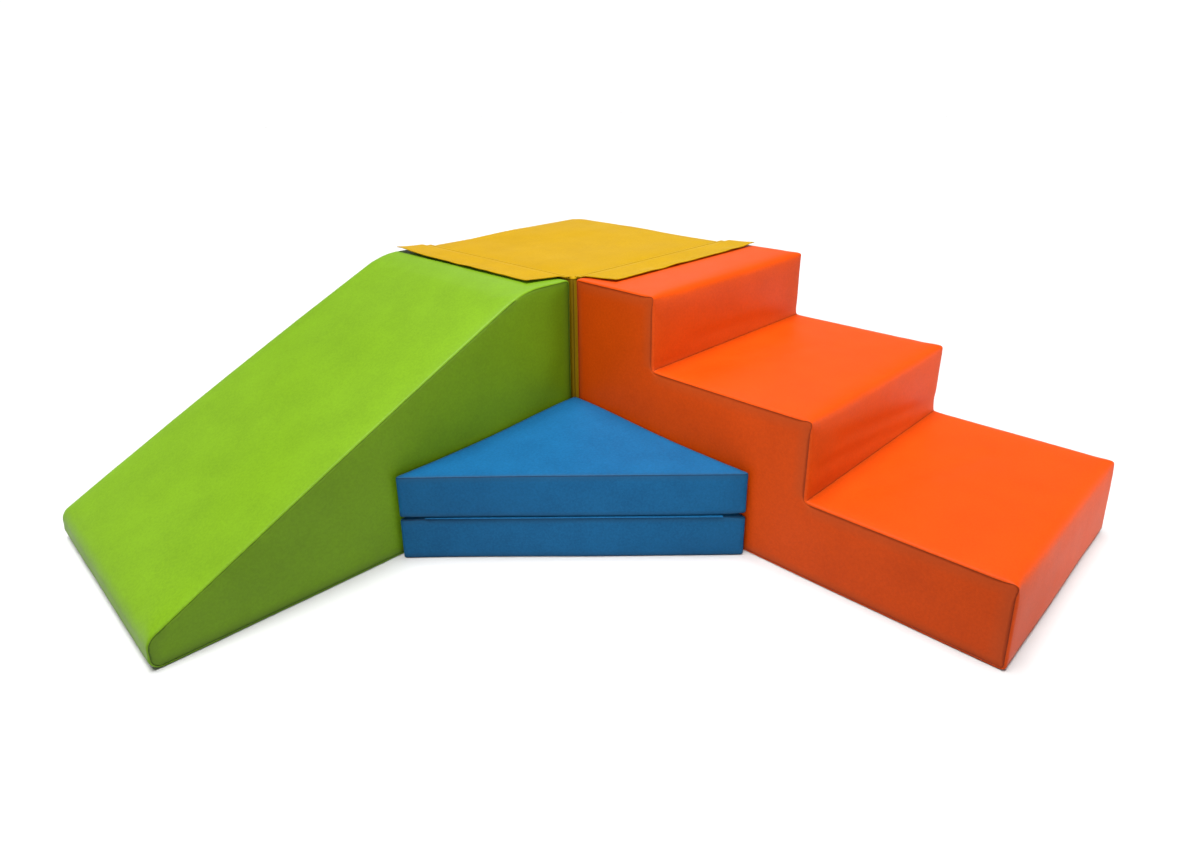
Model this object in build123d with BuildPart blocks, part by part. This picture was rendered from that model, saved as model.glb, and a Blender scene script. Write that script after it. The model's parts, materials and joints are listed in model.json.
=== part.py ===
from build123d import *
import os
from math import sqrt

os.makedirs("parts", exist_ok=True)

# A foam climbing set: a square corner block, a ramp and a three-step stair that stand
# against two of its sides, and a folding triangular mat in the nook between them.
# Every foam body has a sewn cover of coated fabric with a zip under it.
# X points right, Y away from the viewer and Z up. The origin is on the floor, in the
# middle of the footprint. The ramp runs towards -X and the stair towards -Y.

# Foam modules, all of one width and height
module_width = 600
module_height = 500
wing_length = 1000
module_gap = 4
side_bow = 4
edge_radius = 6
back_radius = 8
base_radius = 10
overrun = 20

# Covers: seam_inset is how far a seam lies inside the silhouette of a side
cover_thickness = 1.2
cover_slack = 0.3
seam_inset = 7
side_cut_depth = 20

# Ramp
ramp_flat_length = 145
ramp_nose_height = 62
ramp_crest_radius = 100
ramp_nose_radius = 14

# Stair: the lower tread takes the rest of the length
top_tread = 240
middle_tread = 385
tread_nose_radius = 14
inner_corner_radius = 6
lower_riser_lean = 6

# Zips: two rows of coil on a tape inside the cover, seen through a slot
zip_length = 400
zip_tape_width = 12
zip_tape_thickness = 0.6
zip_tape_overlap = 8
zip_slot_width = 12
zip_row_gap = 1.6
zip_row_width = 2.2
zip_row_height = 1.4
zip_clearance = 0.3
zip_plate_thickness = 0.6
zip_plate_length = 14
zip_plate_width = 8
zip_post_length = 5
zip_lip_thickness = 0.8
zip_end_clearance = 1
zip_groove_clearance = 2
zip_from_edge = 60
zip_corner_share = 0.3
mat_zip_length = 320

# Flaps: sheets sewn to the block's top that lie over the wings' tops
flap_reach = 100
flap_thickness = 2
flap_fold_inset = 10
flap_root_start = 16
flap_far_inset = 6
flap_clearance = 0.3
flap_rise_length = 16
flap_bend_radius = 25
flap_corner_radius = 6
ramp_flap_near_inset = 49
stair_flap_near_inset = 38

# Hook and loop strips between a flap and a wing's top
strip_width = 25
strip_thickness = 1.2
strip_gap = 0.5
strip_from_block = 50
strip_end_inset = 70

# Folding mat: two triangular cushions joined along their long front sides
mat_leg = 514
mat_clearance = 3
mat_thickness = 94
mat_fold_gap = 2
mat_front_bow = 9
mat_tip_radius = 8
mat_edge_radius = 5
mat_crown = 4
mat_crown_inset_shares = [0.06, 0.14, 0.22]
mat_crown_rise_shares = [0.55, 0.9, 1]
mat_axis_clearance = 1
leaf_thickness = 0.8
leaf_width = 45
leaf_end_inset = 60
leaf_axis_gap = 0.4

footprint = module_width + module_gap + wing_length
outer = footprint / 2
inner = outer - module_width
tread_ends = [top_tread, top_tread + middle_tread, wing_length]
step_rise = module_height / len(tread_ends)
block_middle = (inner + outer) / 2
foam_inset = cover_thickness + cover_slack


def above(height):
    """A level plane that faces up."""
    return Plane(origin=(0, 0, height), z_dir=(0, 0, 1))


def below(height):
    """A level plane that faces down."""
    return Plane(origin=(0, 0, height), z_dir=(0, 0, -1))


def kept(solid, *planes):
    """What is left of a solid in front of every plane."""
    with BuildPart() as piece:
        add(solid)
        for plane in planes:
            split(bisect_by=plane, keep=Keep.TOP)
    return piece


def less(solid, *cutters):
    """A solid with the cutters taken out of it."""
    with BuildPart() as piece:
        add(solid)
        for cutter in cutters:
            add(cutter, mode=Mode.SUBTRACT)
    return piece


def write(piece, name):
    """Label a finished piece and write its file."""
    piece.part.label = name
    export_step(piece.part, f"parts/{name}.step")


# Zips. A zip's plane has its origin in the middle of the zip, X along it and Z out of
# the cover, so that every depth is counted down from the cover's face.
zip_tape_top = -cover_thickness
zip_tape_bottom = zip_tape_top - zip_tape_thickness
zip_coil_bottom = zip_tape_bottom - zip_row_height
zip_lip_top = zip_coil_bottom - zip_clearance
zip_groove_bottom = zip_lip_top - zip_lip_thickness - zip_groove_clearance
zip_inner_width = zip_row_gap + 2 * zip_row_width
zip_outer_width = zip_row_gap + 2 * zip_tape_width


def zip_bar(plane, length, width, top, bottom):
    """A plain bar along a zip, between two depths."""
    with BuildPart() as bar:
        with BuildSketch(plane.offset(top)):
            Rectangle(length, width)
        extrude(amount=bottom - top)
    return bar


def zip_rows(plane, length, width, top, bottom):
    """Two bars beside the zip's middle line."""
    with BuildPart() as rows:
        with BuildSketch(plane.offset(top)):
            Rectangle(length, zip_row_gap + 2 * width)
            Rectangle(length, zip_row_gap, mode=Mode.SUBTRACT)
        extrude(amount=bottom - top)
    return rows


def zip_slot_length(length):
    return length - 2 * zip_tape_overlap


def zip_travel(length):
    """How far a slider runs from one end of its slot to the other."""
    return zip_slot_length(length) - zip_plate_length - 2 * zip_end_clearance


def zip_slot(plane, length):
    """The slot in the cover that shows the tape."""
    return zip_bar(plane, zip_slot_length(length), zip_slot_width, overrun, zip_tape_top).part


def zip_groove(plane, length):
    """The groove in the foam that takes the tape, the coil and the slider."""
    groove_length = length + 2 * zip_groove_clearance
    groove_width = zip_outer_width + 2 * zip_groove_clearance
    return zip_bar(plane, groove_length, groove_width, zip_tape_top, zip_groove_bottom).part


def zip_slider(plane, length):
    """A slider at the closed end: a front plate, a dividing post and a back plate."""
    start = zip_travel(length) / 2
    lip_bottom = zip_lip_top - zip_lip_thickness
    back_width = zip_inner_width + 2 * (zip_clearance + zip_lip_thickness)
    with BuildPart() as slider:
        with BuildSketch(plane.offset(-zip_clearance)):
            with Locations((-start, 0)):
                RectangleRounded(zip_plate_length, zip_plate_width, zip_plate_width * zip_corner_share)
        extrude(amount=-zip_plate_thickness)
        with BuildSketch(plane.offset(-zip_clearance)):
            with Locations((-start, 0)):
                Rectangle(zip_post_length, zip_row_gap - 2 * zip_clearance)
        extrude(amount=lip_bottom + zip_clearance)
        with BuildSketch(plane.offset(lip_bottom)):
            with Locations((-start, 0)):
                RectangleRounded(zip_plate_length, back_width, back_width * zip_corner_share)
        extrude(amount=zip_lip_thickness)
        with BuildSketch(plane.offset(zip_lip_top)):
            with Locations((-start, 0)):
                Rectangle(zip_post_length, back_width)
                Rectangle(zip_post_length, back_width - 2 * zip_lip_thickness, mode=Mode.SUBTRACT)
        extrude(amount=zip_row_height)
    return slider


def write_zip(plane, length, name):
    """Write a zip's tape, coil and slider."""
    tape = zip_rows(plane, length, zip_tape_width, zip_tape_top, zip_tape_bottom)
    write(tape, name + "_zip_tape")
    coil = zip_rows(plane, length, zip_row_width, zip_tape_bottom, zip_coil_bottom)
    write(coil, name + "_zip_coil")
    write(zip_slider(plane, length), name + "_zip_slider")


# The corner block
def block_body(inset):
    """The block's rounded box, drawn in by inset on every face."""
    low = inner + inset
    high = outer - inset
    bow = side_bow
    with BuildPart() as body:
        with BuildSketch(Plane.XY.offset(inset)):
            with BuildLine():
                ThreePointArc((low + bow, low + bow), (low, block_middle), (low + bow, high - bow))
                ThreePointArc((low + bow, high - bow), (block_middle, high), (high - bow, high - bow))
                ThreePointArc((high - bow, high - bow), (high, block_middle), (high - bow, low + bow))
                ThreePointArc((high - bow, low + bow), (block_middle, low), (low + bow, low + bow))
            make_face()
        extrude(amount=module_height - 2 * inset)
        fillet(body.edges().filter_by(Axis.Z), radius=back_radius - inset)
        fillet(body.faces().sort_by(Axis.Z)[-1].edges(), radius=edge_radius - inset)
        fillet(body.faces().sort_by(Axis.Z)[0].edges(), radius=edge_radius - inset)
    return body.part


block_zip_plane = Plane(
    origin=(block_middle, outer - zip_from_edge, 0), x_dir=(1, 0, 0), z_dir=(0, 0, -1)
)
block_cover = less(block_body(0), block_body(cover_thickness)).part

block_foam_core = less(block_body(foam_inset), zip_groove(block_zip_plane, zip_length))
write(block_foam_core, "block_foam_core")

block_top_panel = kept(block_cover, above(module_height - seam_inset))
write(block_top_panel, "block_top_panel")

block_base_cut = kept(block_cover, below(seam_inset))
block_base_panel = less(block_base_cut.part, zip_slot(block_zip_plane, zip_length))
write(block_base_panel, "block_base_panel")

# Each wall lies between two upright planes through the block's corners
block_walls = {
    "block_ramp_side_panel": (-1, 0),
    "block_stair_side_panel": (0, -1),
    "block_right_panel": (1, 0),
    "block_back_panel": (0, 1),
}
for wall_name, (x, y) in block_walls.items():
    wall = kept(
        block_cover,
        above(seam_inset),
        below(module_height - seam_inset),
        Plane(origin=(block_middle, block_middle, 0), z_dir=(x - y, x + y, 0)),
        Plane(origin=(block_middle, block_middle, 0), z_dir=(x + y, y - x, 0)),
    )
    write(wall, wall_name)

write_zip(block_zip_plane, zip_length, "block")


# The wings. A wing's plane has X along the wing from the block, Y up and Z across it.
def underside(plane):
    """The floor plane of a wing, which faces down: X along the wing and Y across it."""
    return Plane(origin=plane.origin, x_dir=plane.x_dir, z_dir=-plane.y_dir)


def wing_outline(points, radii, inset):
    """A wing's side outline with rounded corners, drawn in by inset."""
    with BuildSketch() as outline:
        with BuildLine():
            FilletPolyline(*points, radius=radii, close=True)
        make_face()
        if inset > 0:
            offset(amount=-inset)
    return outline.sketch


def wing_body(plane, points, radii, inset):
    """A wing's soft body: its side outline carried across, with bowed sides."""
    with BuildPart() as body:
        with BuildSketch(plane):
            add(wing_outline(points, radii, inset))
        extrude(amount=module_width)
        with BuildSketch(underside(plane)):
            near = inset
            far = module_width - inset
            start = -overrun
            end = wing_length + overrun
            with BuildLine():
                ThreePointArc(
                    (start, near + side_bow), (wing_length / 2, near), (end, near + side_bow)
                )
                Line((end, near + side_bow), (end, far - side_bow))
                ThreePointArc(
                    (end, far - side_bow), (wing_length / 2, far), (start, far - side_bow)
                )
                Line((start, far - side_bow), (start, near + side_bow))
            make_face()
        extrude(amount=-module_height, mode=Mode.INTERSECT)
        across = Axis(origin=plane.origin, direction=plane.z_dir)
        sides = body.faces().sort_by(across)
        fillet(sides[0].edges() + sides[-1].edges(), radius=edge_radius - inset)
    return body.part


def wing_cover(plane, points, radii):
    """A wing's whole cover, before it is cut into panels."""
    outside = wing_body(plane, points, radii, 0)
    return less(outside, wing_body(plane, points, radii, cover_thickness)).part


def side_cut(plane, points, radii, start):
    """The block of space that a wing's side panel is cut with."""
    with BuildPart() as cut:
        with BuildSketch(plane.offset(start)):
            add(wing_outline(points, radii, seam_inset))
        extrude(amount=side_cut_depth)
    return cut.part


def profile_plane(plane, along, up, facing):
    """A plane across a wing, through one point of its side outline."""
    normal = plane.x_dir * facing[0] + plane.y_dir * facing[1]
    return Plane(origin=plane.from_local_coords((along, up, 0)), z_dir=normal)


def top_strip(plane, start, end):
    """A strip across a wing's flat top, between two distances from the block."""
    with BuildPart() as strip:
        with BuildSketch(underside(plane).offset(-module_height)):
            with Locations(((start + end) / 2, module_width / 2)):
                Rectangle(end - start, module_width - 2 * strip_end_inset)
        extrude(amount=-strip_thickness)
    return strip


def wing_zip_plane(plane):
    """The zip's plane, along the wing's base."""
    middle = plane.from_local_coords((wing_length / 2, 0, module_width / 2))
    return Plane(origin=middle, x_dir=plane.x_dir, z_dir=-plane.y_dir)


strip_start = strip_from_block - strip_width / 2
strip_end = strip_from_block + strip_width / 2

# The ramp
ramp_plane = Plane(origin=(inner - module_gap, inner, 0), x_dir=(-1, 0, 0), z_dir=(0, 1, 0))
ramp_points = [
    (0, 0),
    (0, module_height),
    (ramp_flat_length, module_height),
    (wing_length, ramp_nose_height),
    (wing_length, 0),
]
ramp_radii = [base_radius, back_radius, ramp_crest_radius, ramp_nose_radius, base_radius]
ramp_zip_plane = wing_zip_plane(ramp_plane)

ramp_core_body = wing_body(ramp_plane, ramp_points, ramp_radii, foam_inset)
ramp_foam_core = less(ramp_core_body, zip_groove(ramp_zip_plane, zip_length))
write(ramp_foam_core, "ramp_foam_core")

ramp_cover = wing_cover(ramp_plane, ramp_points, ramp_radii)
ramp_near_cut = side_cut(ramp_plane, ramp_points, ramp_radii, 0)
ramp_far_cut = side_cut(ramp_plane, ramp_points, ramp_radii, module_width - side_cut_depth)
ramp_band = less(ramp_cover, ramp_near_cut, ramp_far_cut).part
for side_name, side in (("inner", ramp_near_cut), ("outer", ramp_far_cut)):
    with BuildPart() as ramp_side_panel:
        add(ramp_cover)
        add(side, mode=Mode.INTERSECT)
    write(ramp_side_panel, f"ramp_{side_name}_side_panel")

ramp_slide_panel = kept(
    ramp_band, above(seam_inset), profile_plane(ramp_plane, 0, module_height, (1, 1))
)
write(ramp_slide_panel, "ramp_slide_panel")

ramp_end_panel = kept(
    ramp_band, above(seam_inset), profile_plane(ramp_plane, 0, module_height, (-1, -1))
)
write(ramp_end_panel, "ramp_end_panel")

ramp_base_cut = kept(ramp_band, below(seam_inset))
ramp_base_panel = less(ramp_base_cut.part, zip_slot(ramp_zip_plane, zip_length))
write(ramp_base_panel, "ramp_base_panel")

ramp_loop_strip = top_strip(ramp_plane, strip_start, strip_end)
write(ramp_loop_strip, "ramp_loop_strip")

write_zip(ramp_zip_plane, zip_length, "ramp")

# The stair
stair_plane = Plane(origin=(outer, inner - module_gap, 0), x_dir=(0, -1, 0), z_dir=(-1, 0, 0))
stair_points = [(0, 0), (0, module_height)]
stair_radii = [base_radius, back_radius]
for step, tread_end in enumerate(tread_ends):
    tread_height = module_height - step * step_rise
    is_last = tread_end == tread_ends[-1]
    stair_points.append((tread_end, tread_height))
    stair_radii.append(tread_nose_radius)
    foot = 0 if is_last else tread_height - step_rise
    lean = lower_riser_lean if is_last else 0
    stair_points.append((tread_end - lean, foot))
    stair_radii.append(base_radius if is_last else inner_corner_radius)
stair_zip_plane = wing_zip_plane(stair_plane)

stair_core_body = wing_body(stair_plane, stair_points, stair_radii, foam_inset)
stair_core = less(stair_core_body, zip_groove(stair_zip_plane, zip_length)).part

# The foam is three slabs, glued one on the other, and each tread is the top of a slab
lower_slab_top = step_rise - foam_inset
middle_slab_top = 2 * step_rise - foam_inset
stair_core_lower = kept(stair_core, below(lower_slab_top))
write(stair_core_lower, "stair_core_lower")
stair_core_middle = kept(stair_core, above(lower_slab_top), below(middle_slab_top))
write(stair_core_middle, "stair_core_middle")
stair_core_upper = kept(stair_core, above(middle_slab_top))
write(stair_core_upper, "stair_core_upper")

stair_cover = wing_cover(stair_plane, stair_points, stair_radii)
stair_near_cut = side_cut(stair_plane, stair_points, stair_radii, 0)
stair_far_cut = side_cut(stair_plane, stair_points, stair_radii, module_width - side_cut_depth)
stair_band = less(stair_cover, stair_near_cut, stair_far_cut).part
for side_name, side in (("outer", stair_near_cut), ("inner", stair_far_cut)):
    with BuildPart() as stair_side_panel:
        add(stair_cover)
        add(side, mode=Mode.INTERSECT)
    write(stair_side_panel, f"stair_{side_name}_side_panel")

# Each step panel is a tread with its riser, sewn to the next at the inner corner
stair_above_end = profile_plane(stair_plane, 0, module_height, (1, 1))
upper_corner = (tread_ends[0], 2 * step_rise)
lower_corner = (tread_ends[1], step_rise)
stair_top_panel = kept(
    stair_band,
    above(seam_inset),
    stair_above_end,
    profile_plane(stair_plane, *upper_corner, (-1, 1)),
)
write(stair_top_panel, "stair_top_step_panel")
stair_middle_panel = kept(
    stair_band,
    above(seam_inset),
    stair_above_end,
    profile_plane(stair_plane, *upper_corner, (1, -1)),
    profile_plane(stair_plane, *lower_corner, (-1, 1)),
)
write(stair_middle_panel, "stair_middle_step_panel")
stair_lower_panel = kept(
    stair_band,
    above(seam_inset),
    stair_above_end,
    profile_plane(stair_plane, *lower_corner, (1, -1)),
)
write(stair_lower_panel, "stair_lower_step_panel")

stair_end_panel = kept(
    stair_band, above(seam_inset), profile_plane(stair_plane, 0, module_height, (-1, -1))
)
write(stair_end_panel, "stair_end_panel")

stair_base_cut = kept(stair_band, below(seam_inset))
stair_base_panel = less(stair_base_cut.part, zip_slot(stair_zip_plane, zip_length))
write(stair_base_panel, "stair_base_panel")

stair_loop_strip = top_strip(stair_plane, strip_start, strip_end)
write(stair_loop_strip, "stair_loop_strip")

write_zip(stair_zip_plane, zip_length, "stair")

# The flaps. A flap's plane has its origin under the fold line, at one side of the
# block, X away from the block, Y up and Z along the fold.
flap_root = module_height + flap_clearance
flap_underside = module_height + 2 * strip_thickness + strip_gap
flap_rise_start = flap_fold_inset + module_gap
flap_rise_end = flap_rise_start + flap_rise_length
flap_tip = flap_fold_inset + flap_reach
strip_from_fold = flap_fold_inset + module_gap + strip_from_block


def flap_sheet(plane, root_ends, tip_ends):
    """A sheet that rises off the block's edge, between two ends along the fold."""
    bend = flap_bend_radius
    corner = flap_corner_radius
    with BuildPart() as sheet:
        with BuildSketch(plane):
            with BuildLine():
                FilletPolyline(
                    (0, flap_root),
                    (flap_rise_start, flap_root),
                    (flap_rise_end, flap_underside),
                    (flap_tip, flap_underside),
                    (flap_tip, flap_underside + flap_thickness),
                    (flap_rise_end, flap_underside + flap_thickness),
                    (flap_rise_start, flap_root + flap_thickness),
                    (0, flap_root + flap_thickness),
                    radius=[0, bend, bend, 0, 0, bend, bend, 0],
                    close=True,
                )
            make_face()
        extrude(amount=module_width)
        with BuildSketch(underside(plane)):
            with BuildLine():
                FilletPolyline(
                    (0, root_ends[0]),
                    (flap_tip, tip_ends[0]),
                    (flap_tip, tip_ends[1]),
                    (0, root_ends[1]),
                    radius=[0, corner, corner, 0],
                    close=True,
                )
            make_face()
        extrude(amount=-module_height - overrun, mode=Mode.INTERSECT)
    return sheet


def flap_strip(plane):
    """The hook strip under a flap, in line with the loop strip on the wing."""
    with BuildPart() as strip:
        with BuildSketch(underside(plane).offset(-flap_underside)):
            with Locations((strip_from_fold, module_width / 2)):
                Rectangle(strip_width, module_width - 2 * strip_end_inset)
        extrude(amount=strip_thickness)
    return strip


flap_far_end = module_width - flap_far_inset
ramp_flap_plane = Plane(
    origin=(inner + flap_fold_inset, inner, 0), x_dir=(-1, 0, 0), z_dir=(0, 1, 0)
)
ramp_flap_sheet = flap_sheet(
    ramp_flap_plane, (flap_root_start, flap_far_end), (ramp_flap_near_inset, flap_far_end)
)
write(ramp_flap_sheet, "ramp_flap_sheet")
write(flap_strip(ramp_flap_plane), "ramp_flap_hook_strip")

stair_flap_plane = Plane(
    origin=(outer, inner + flap_fold_inset, 0), x_dir=(0, -1, 0), z_dir=(-1, 0, 0)
)
stair_flap_sheet = flap_sheet(
    stair_flap_plane,
    (flap_far_inset, module_width - flap_root_start),
    (flap_far_inset, module_width - stair_flap_near_inset),
)
write(stair_flap_sheet, "stair_flap_sheet")
write(flap_strip(stair_flap_plane), "stair_flap_hook_strip")

# The folding mat. Its square corner stands in the nook and its long side faces out.
mat_corner = inner - mat_clearance
mat_front = mat_corner - mat_leg / 2 - mat_front_bow / sqrt(2)
mat_axis_place = mat_front - mat_axis_clearance / sqrt(2)
mat_upper_bottom = mat_thickness + mat_fold_gap
mat_fold_plane = Plane(
    origin=(mat_axis_place, mat_axis_place, 0), x_dir=(1, -1, 0), z_dir=(0, 0, 1)
)


def mat_outline(inset):
    """The mat's triangle with rounded tips and a bowed front, drawn in by inset."""
    corner = mat_corner - inset
    leg = mat_leg - inset * (2 + sqrt(2))
    tip = corner - leg
    bow = mat_front_bow * leg / mat_leg
    front = corner - leg / 2 - bow / sqrt(2)
    with BuildSketch() as outline:
        with BuildLine():
            Line((tip, corner), (corner, corner))
            Line((corner, corner), (corner, tip))
            ThreePointArc((corner, tip), (front, front), (tip, corner))
        make_face()
        fillet(outline.vertices(), radius=mat_tip_radius)
    return outline.sketch


def mat_body(bottom, crown, inset):
    """One cushion: a flat-bottomed triangle with soft edges and a crowned top."""
    low = bottom + inset
    edge_top = bottom + mat_thickness - crown - inset
    soft_edge = mat_edge_radius - inset
    with BuildPart() as body:
        with BuildSketch(Plane.XY.offset(low)):
            add(mat_outline(inset))
        extrude(amount=edge_top - low)
        fillet(body.faces().sort_by(Axis.Z)[-1].edges(), radius=soft_edge)
        fillet(body.faces().sort_by(Axis.Z)[0].edges(), radius=soft_edge)
        if crown > 0:
            with BuildSketch(Plane.XY.offset(edge_top)):
                add(mat_outline(mat_edge_radius))
            for inset_share, rise_share in zip(mat_crown_inset_shares, mat_crown_rise_shares):
                with BuildSketch(Plane.XY.offset(edge_top + crown * rise_share)):
                    add(mat_outline(mat_leg * inset_share))
            loft()
    return body.part


def hinge_leaf(bottom):
    """Half of the fabric hinge, flat on a cushion and running in from the fold line."""
    with BuildPart() as leaf:
        with BuildSketch(mat_fold_plane.offset(bottom)):
            with Locations((0, (leaf_axis_gap + leaf_width) / 2)):
                Rectangle(mat_leg * sqrt(2) - 2 * leaf_end_inset, leaf_width - leaf_axis_gap)
        extrude(amount=leaf_thickness)
    return leaf


mat_cushions = [
    ("mat_lower", 0, 0, mat_thickness),
    ("mat_upper", mat_upper_bottom, mat_crown, mat_upper_bottom - leaf_thickness),
]
for mat_name, bottom, crown, leaf_bottom in mat_cushions:
    edge_top = bottom + mat_thickness - crown
    mat_zip_plane = Plane(
        origin=(mat_corner, mat_corner - mat_leg / 2, (bottom + edge_top) / 2),
        x_dir=(0, 1, 0),
        z_dir=(1, 0, 0),
    )
    mat_cover = less(mat_body(bottom, crown, 0), mat_body(bottom, crown, cover_thickness)).part
    mat_core_body = mat_body(bottom, crown, foam_inset)
    mat_core = less(mat_core_body, zip_groove(mat_zip_plane, mat_zip_length))
    write(mat_core, f"{mat_name}_foam_core")
    top_panel = kept(mat_cover, above(edge_top - mat_edge_radius))
    write(top_panel, f"{mat_name}_top_panel")
    base_panel = kept(mat_cover, below(bottom + mat_edge_radius))
    write(base_panel, f"{mat_name}_base_panel")
    band = kept(mat_cover, below(edge_top - mat_edge_radius), above(bottom + mat_edge_radius))
    side_band = less(band.part, zip_slot(mat_zip_plane, mat_zip_length))
    write(side_band, f"{mat_name}_side_band")
    write(hinge_leaf(leaf_bottom), f"{mat_name}_hinge_leaf")
    write_zip(mat_zip_plane, mat_zip_length, mat_name)
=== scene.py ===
# Foam climbing set: corner block, ramp, three-step stair and folding mat in sewn covers.
# Lengths in the dictionaries are in millimetres; mm() turns them to metres.
import json
from math import cos, exp, pi, radians, sin, sqrt

import bmesh
import bpy
from mathutils import Matrix, Vector, noise
from mathutils.kdtree import KDTree

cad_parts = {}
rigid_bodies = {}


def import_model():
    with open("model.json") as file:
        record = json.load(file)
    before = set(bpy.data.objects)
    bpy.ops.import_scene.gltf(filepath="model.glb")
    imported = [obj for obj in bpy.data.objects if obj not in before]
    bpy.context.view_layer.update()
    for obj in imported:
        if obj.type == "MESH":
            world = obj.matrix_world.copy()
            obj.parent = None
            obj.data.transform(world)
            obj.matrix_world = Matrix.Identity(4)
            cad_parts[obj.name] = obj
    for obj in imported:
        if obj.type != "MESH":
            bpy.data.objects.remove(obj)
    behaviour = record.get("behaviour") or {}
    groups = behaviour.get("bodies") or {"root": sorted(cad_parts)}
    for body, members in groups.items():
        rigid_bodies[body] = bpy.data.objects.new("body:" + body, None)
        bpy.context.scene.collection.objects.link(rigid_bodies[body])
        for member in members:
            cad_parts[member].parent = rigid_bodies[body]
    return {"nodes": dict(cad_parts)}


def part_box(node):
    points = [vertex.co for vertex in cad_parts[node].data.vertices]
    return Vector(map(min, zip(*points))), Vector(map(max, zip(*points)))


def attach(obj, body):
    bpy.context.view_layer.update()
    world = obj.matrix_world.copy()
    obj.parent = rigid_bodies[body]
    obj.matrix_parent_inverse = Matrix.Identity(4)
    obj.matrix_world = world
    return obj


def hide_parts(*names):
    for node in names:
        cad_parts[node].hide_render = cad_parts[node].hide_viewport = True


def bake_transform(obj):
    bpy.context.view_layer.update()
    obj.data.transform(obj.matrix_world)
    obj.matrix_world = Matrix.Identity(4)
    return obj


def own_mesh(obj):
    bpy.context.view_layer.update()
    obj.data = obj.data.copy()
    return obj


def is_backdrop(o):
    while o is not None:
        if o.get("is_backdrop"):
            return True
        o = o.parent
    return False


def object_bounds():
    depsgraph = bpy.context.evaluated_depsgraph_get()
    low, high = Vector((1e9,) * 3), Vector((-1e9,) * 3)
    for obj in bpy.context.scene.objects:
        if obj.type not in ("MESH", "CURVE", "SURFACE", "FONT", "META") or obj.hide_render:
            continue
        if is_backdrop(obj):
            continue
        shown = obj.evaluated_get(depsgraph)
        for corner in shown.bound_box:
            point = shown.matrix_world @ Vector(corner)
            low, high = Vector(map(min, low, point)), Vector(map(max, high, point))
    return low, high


bpy.ops.object.select_all(action="SELECT")
bpy.ops.object.delete()
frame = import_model()
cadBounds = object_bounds()


def mm(value):
    return value * 0.001


# Camera, at the viewing angle of the photograph

cameraValues = {
    "place": (-987.4, -1036.5, 921.1),
    "heading": 46.335,
    "downTilt": 20.277,
    "roll": -1.093,
    "focalShare": 0.64276,
    "sensorWidth": 36,
    "shiftAcross": 0.01462,
    "shiftUp": -0.0522,
}

print("camera")
bpy.ops.object.camera_add()
camera = bpy.context.active_object
camera.name = "setCamera"
camera.data.sensor_width = cameraValues["sensorWidth"]
camera.data.lens = cameraValues["focalShare"] * cameraValues["sensorWidth"]
camera.data.shift_x = cameraValues["shiftAcross"]
camera.data.shift_y = cameraValues["shiftUp"]
camera.data.clip_start = mm(50)
camera.data.clip_end = 60
turn = (
    Matrix.Rotation(radians(cameraValues["heading"] - 90), 4, "Z")
    @ Matrix.Rotation(radians(90 - cameraValues["downTilt"]), 4, "X")
    @ Matrix.Rotation(radians(cameraValues["roll"]), 4, "Z")
)
camera.matrix_world = Matrix.Translation([mm(v) for v in cameraValues["place"]]) @ turn
bpy.context.scene.camera = camera


# Working in edit mode

def clearPicks():
    bpy.ops.object.select_all(action="DESELECT")


def takeUp(piece):
    clearPicks()
    piece.select_set(True)
    bpy.context.view_layer.objects.active = piece


def openEdit(piece):
    takeUp(piece)
    bpy.ops.object.mode_set(mode="EDIT")


def closeEdit():
    bpy.ops.object.mode_set(mode="OBJECT")


def addModifier(piece, kind, **settings):
    # adds a modifier, sets it and applies it
    takeUp(piece)
    bpy.ops.object.modifier_add(type=kind)
    modifier = piece.modifiers[-1]
    for name, value in settings.items():
        setattr(modifier, name, value)
    bpy.ops.object.modifier_apply(modifier=modifier.name)


def pick(piece, kind, test):
    # picks verts, edges or faces by a test on each
    bpy.ops.mesh.select_mode(type=kind)
    bpy.ops.mesh.select_all(action="DESELECT")
    mesh = bmesh.from_edit_mesh(piece.data)
    mesh.normal_update()
    items = {"VERT": mesh.verts, "EDGE": mesh.edges, "FACE": mesh.faces}[kind]
    for item in items:
        if test(item):
            item.select_set(True)
    mesh.select_flush_mode()
    bmesh.update_edit_mesh(piece.data)


def pickAll():
    bpy.ops.mesh.select_all(action="SELECT")


def near(a, b, slack=0.2):
    return abs(a - b) < mm(slack)


def edgeMiddle(edge):
    return (edge.verts[0].co + edge.verts[1].co) / 2


def runsAlong(edge, axis):
    # the edge is parallel to that axis
    step = edge.verts[1].co - edge.verts[0].co
    return abs(step[axis]) > 0.999 * step.length


def spread(low, high, pitch):
    # evenly spaced places between two ends, without the ends
    count = max(1, round((high - low) / mm(pitch)))
    return [low + (high - low) * step / count for step in range(1, count)]


def addBlank(name, low, high):
    clearPicks()
    middle = [(a + b) / 2 for a, b in zip(low, high)]
    size = [b - a for a, b in zip(low, high)]
    bpy.ops.mesh.primitive_cube_add(size=1, location=middle, scale=size)
    bpy.ops.object.transform_apply(location=True, rotation=True, scale=True)
    piece = bpy.context.active_object
    piece.name = piece.data.name = name
    return piece


cutSlack = mm(0.3)  # a cut this close to a point goes through the point


def cutPicked(axis, place):
    # cuts what is picked by a plane square to an axis
    point, normal = [0, 0, 0], [0, 0, 0]
    point[axis], normal[axis] = place, 1
    bpy.ops.mesh.bisect(plane_co=point, plane_no=normal, threshold=cutSlack)


def cutAcross(axis, places):
    for place in places:
        pickAll()
        cutPicked(axis, place)


def roundEdges(piece, test, width, steps):
    pick(piece, "EDGE", test)
    bpy.ops.mesh.bevel(
        offset_type="OFFSET", offset=mm(width), segments=steps, profile=0.5, affect="EDGES"
    )


def markSeams(piece, test):
    pick(piece, "EDGE", test)
    bpy.ops.mesh.mark_seam(clear=False)


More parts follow.
